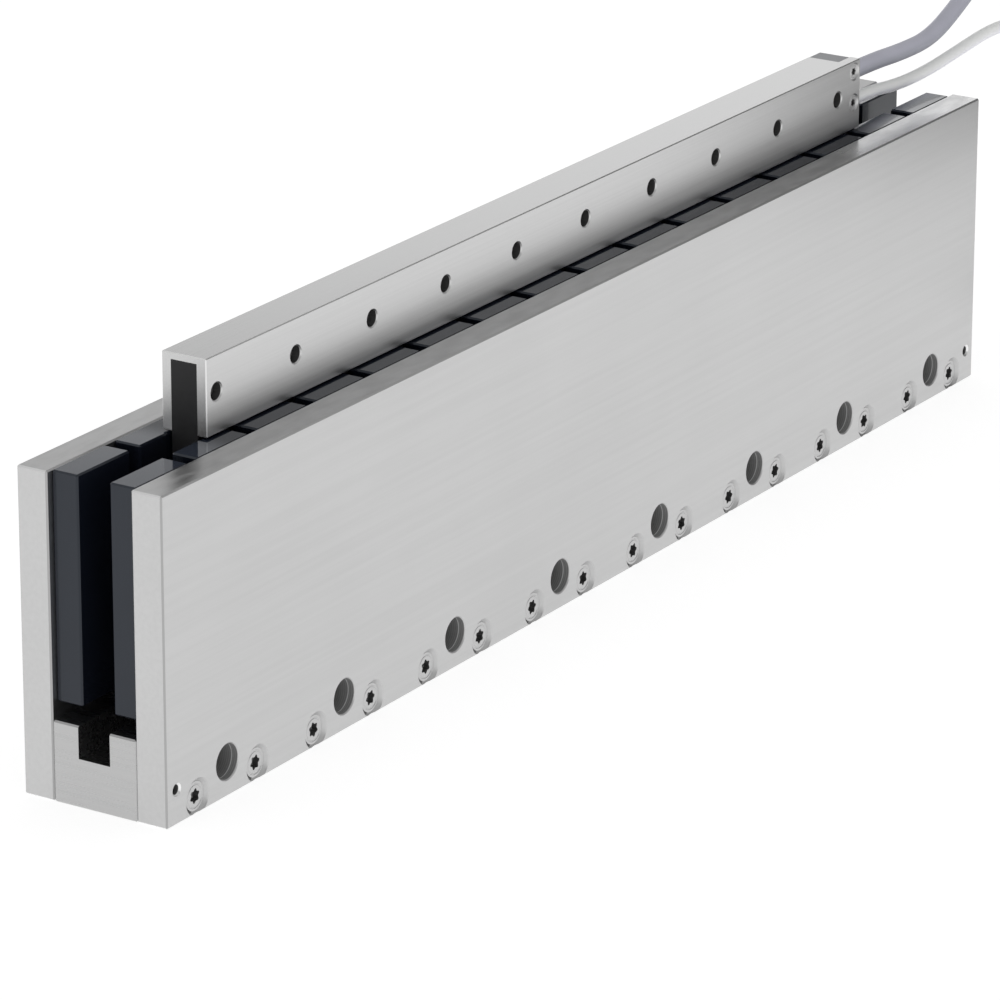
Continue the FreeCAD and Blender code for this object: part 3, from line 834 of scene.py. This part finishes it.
# Painted highlight on the broken edges at the carrier's ends.
brushing_and_painted_highlights = between(broken(wire, "X", "Z") * at_end, brushing_and_painted_highlights, 0.95)
brushing_and_painted_highlights = between(broken(wire, "X", "Y") * at_end, brushing_and_painted_highlights, 0.80)
# Painted shade on the walls of the drilled holes.
between(drilled, brushing_and_painted_highlights, 0.08).to(shader, "Base Color")
(0.26 + 0.12 * streaks - 0.2 * facing_up + 0.15 * drilled).to(shader, "Roughness")
(1 - 0.8 * drilled).to(shader, "Metallic")
relief(streaks, 0.00001, 0.5).to(shader, "Normal")
give(brushed, "coil_carrier")

# Blade
# Flat copper windings, potted in black epoxy between two skins of laminate and clamped in the carrier.
# The connection board and the temperature sensor are potted in with them.
epoxy, shader, wire = finish("blade_epoxy", Specular_IOR_Level=0.25)
weave = grain(on_piece(wire), 700.0, 3.0)
between(weave, (0.015, 0.015, 0.016), (0.022, 0.022, 0.023)).to(shader, "Base Color")
(0.32 + 0.2 * weave).to(shader, "Roughness")
relief(weave, 0.00003, 0.4).to(shader, "Normal")
give(epoxy, "blade_skin_front", "blade_skin_rear", "blade_core", "coil_formers")

copper, shader, wire = finish("winding_copper", Metallic=0.85)
turns = grain(on_piece(wire, (1.0, 60.0, 1.0)), 900.0)
between(turns, (0.42, 0.17, 0.08), (0.62, 0.28, 0.13)).to(shader, "Base Color")
(0.3 + 0.2 * turns).to(shader, "Roughness")
give(copper, "winding_phase_u", "winding_phase_v", "winding_phase_w")

resist, shader, wire = finish("board_resist")
between(grain(on_piece(wire), 500.0), (0.015, 0.10, 0.045), (0.03, 0.16, 0.07)).to(shader, "Base Color")
give(resist, "connection_board")

capsule, shader, wire = finish("sensor_case")
between(grain(on_piece(wire), 900.0), 0.02, 0.035).to(shader, "Base Color")
give(capsule, "temperature_sensor")

# Mounting inserts
# Turned stainless bushes with an M5 thread right through, potted into the blade behind the carrier's
# holes, where their ends can be seen.
insert_radius = 0.0040
bore_radius = 0.0021
thread_depth = 0.00035
grooves = 10
insert_low, insert_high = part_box("mounting_inserts")
insert_length = insert_high[1] - insert_low[1]
steel, shader, wire = finish("insert_steel", Metallic=1.0)
cut = grain(on_piece(wire, (1.0, 8.0, 1.0)), 700.0)
# Painted shade: the steel is painted darker, standing in for the shade of the holes it sits behind.
between(cut, 0.28, 0.40).to(shader, "Base Color")
(0.4 + 0.2 * cut).to(shader, "Roughness")
bpy.ops.object.select_all(action="DESELECT")
bpy.ops.mesh.primitive_plane_add(
    size=1.0,
    rotation=(math.radians(90), 0.0, 0.0),
    location=(0.5 * (bore_radius + insert_radius), 0.0, 0.0),
)
insert = bpy.context.object
insert.scale = (insert_radius - bore_radius, insert_length, 1.0)
bpy.ops.object.transform_apply(location=True, rotation=True, scale=True)
bpy.ops.object.mode_set(mode="EDIT")
pick(lambda corner: corner.x < bore_radius + 0.0001)
bpy.ops.mesh.subdivide(number_cuts=2 * grooves - 1)
step = insert_length / (2 * grooves)
pick(lambda corner: corner.x < bore_radius + 0.0001 and round((corner.z + insert_length / 2) / step) % 2 == 1)
bpy.ops.transform.translate(value=(thread_depth, 0.0, 0.0))
pick(lambda corner: corner.x < bore_radius + 0.0001 and abs(corner.z) > insert_length / 2 - 0.0001)
bpy.ops.transform.translate(value=(0.0005, 0.0, 0.0))
bpy.ops.mesh.select_all(action="SELECT")
bpy.ops.mesh.delete(type="ONLY_FACE")
bpy.ops.mesh.select_all(action="SELECT")
bpy.ops.mesh.spin(steps=28, angle=2 * math.pi, center=(0.0, 0.0, 0.0), axis=(0.0, 0.0, 1.0))
bpy.ops.mesh.select_all(action="SELECT")
bpy.ops.mesh.remove_doubles(threshold=0.000001)
insert = shaped(steel, 25.0)
spots = []
for number in range(10):
    hole_x = (number - 4.5) * carrier_hole_pitch - carrier_hole_shift
    place = Matrix.Translation((hole_x, 0.0, carrier_hole_level))
    spots.append(place @ Matrix.Rotation(math.radians(90), 4, "X"))
inserts = set_out("threaded_inserts", insert, spots)
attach(inserts, "coil_unit")
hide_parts("mounting_inserts")

# Cable outlet block
# Moulded end piece, held in the carrier's far end by two small screws. Its lid fills the window in the
# carrier's top, and is grey and plain.
moulded, shader, wire = finish("outlet_plastic")
texture = grain(on_piece(wire), 1500.0, 3.0)
between(texture, (0.31, 0.315, 0.33), (0.37, 0.375, 0.39)).to(shader, "Base Color")
(0.35 + 0.2 * texture).to(shader, "Roughness")
relief(texture, 0.00005, 0.5).to(shader, "Normal")
give(moulded, "cable_outlet_block")

# Outlet screws
# Two countersunk M3 screws through the carrier's front wall into the outlet block, heads 0.35 mm
# below its face, one above the other.
outlet_low, outlet_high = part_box("outlet_screws")
outlet_x = 0.5 * (outlet_low[0] + outlet_high[0])
head_radius = 0.00275
outlet_levels = (outlet_low[2] + head_radius, outlet_high[2] - head_radius)
split = 0.5 * sum(outlet_levels)
# Painted highlight: these heads use lighter zinc tones than the plate screws.
small_zinc = screw_zinc(
    "outlet_screw_zinc",
    lambda x: x - outlet_x,
    lambda z: abs(z - split) - (outlet_levels[1] - split),
    -outlet_low[1],
    (0.66, 0.78),
)
countersunk(head=0.0055, socket=0.0028, socket_depth=0.0010, shank=0.0030, length=0.0050)
screw = shaped(small_zinc)
spots = [driven(outlet_x, outlet_low[1], screw_at, random.uniform(0, 60)) for screw_at in outlet_levels]
screws = set_out("outlet_block_screws", screw, spots)
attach(screws, "coil_unit")
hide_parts("outlet_screws")

# Cable grommets
# Short moulded rubber sleeves round the cables where they leave the outlet block, which keep them from
# kinking at its edge.
give(rubber, "power_cable_grommet", "sensor_cable_grommet")
